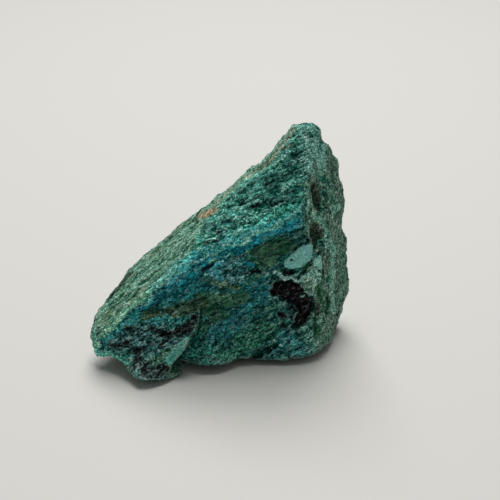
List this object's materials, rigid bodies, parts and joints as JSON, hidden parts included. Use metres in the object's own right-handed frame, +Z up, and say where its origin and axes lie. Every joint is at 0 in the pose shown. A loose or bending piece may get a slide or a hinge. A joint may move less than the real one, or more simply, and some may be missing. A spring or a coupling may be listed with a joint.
{
  "type": "chrysocolla specimen",
  "caption": "Rough wedge-shaped chunk of blue-green chrysocolla copper ore, with one broad broken face and a narrow weathered side, standing on its base and a low toe.",
  "frame": {"origin": "middle of the stone's box, on the surface it stands on", "axes": "+Z up as it stands; +X along its long side, towards the high narrow weathered side; the broad broken face looks towards -Y"},
  "size_m": [0.0782, 0.0476, 0.0696],
  "materials": {
    "chrysocolla": "matt broken rock in teal, blue and grey-green, with small black and pale specks"
  },
  "bodies": {
    "root": {"stone": "chrysocolla"}
  },
  "joints": []
}
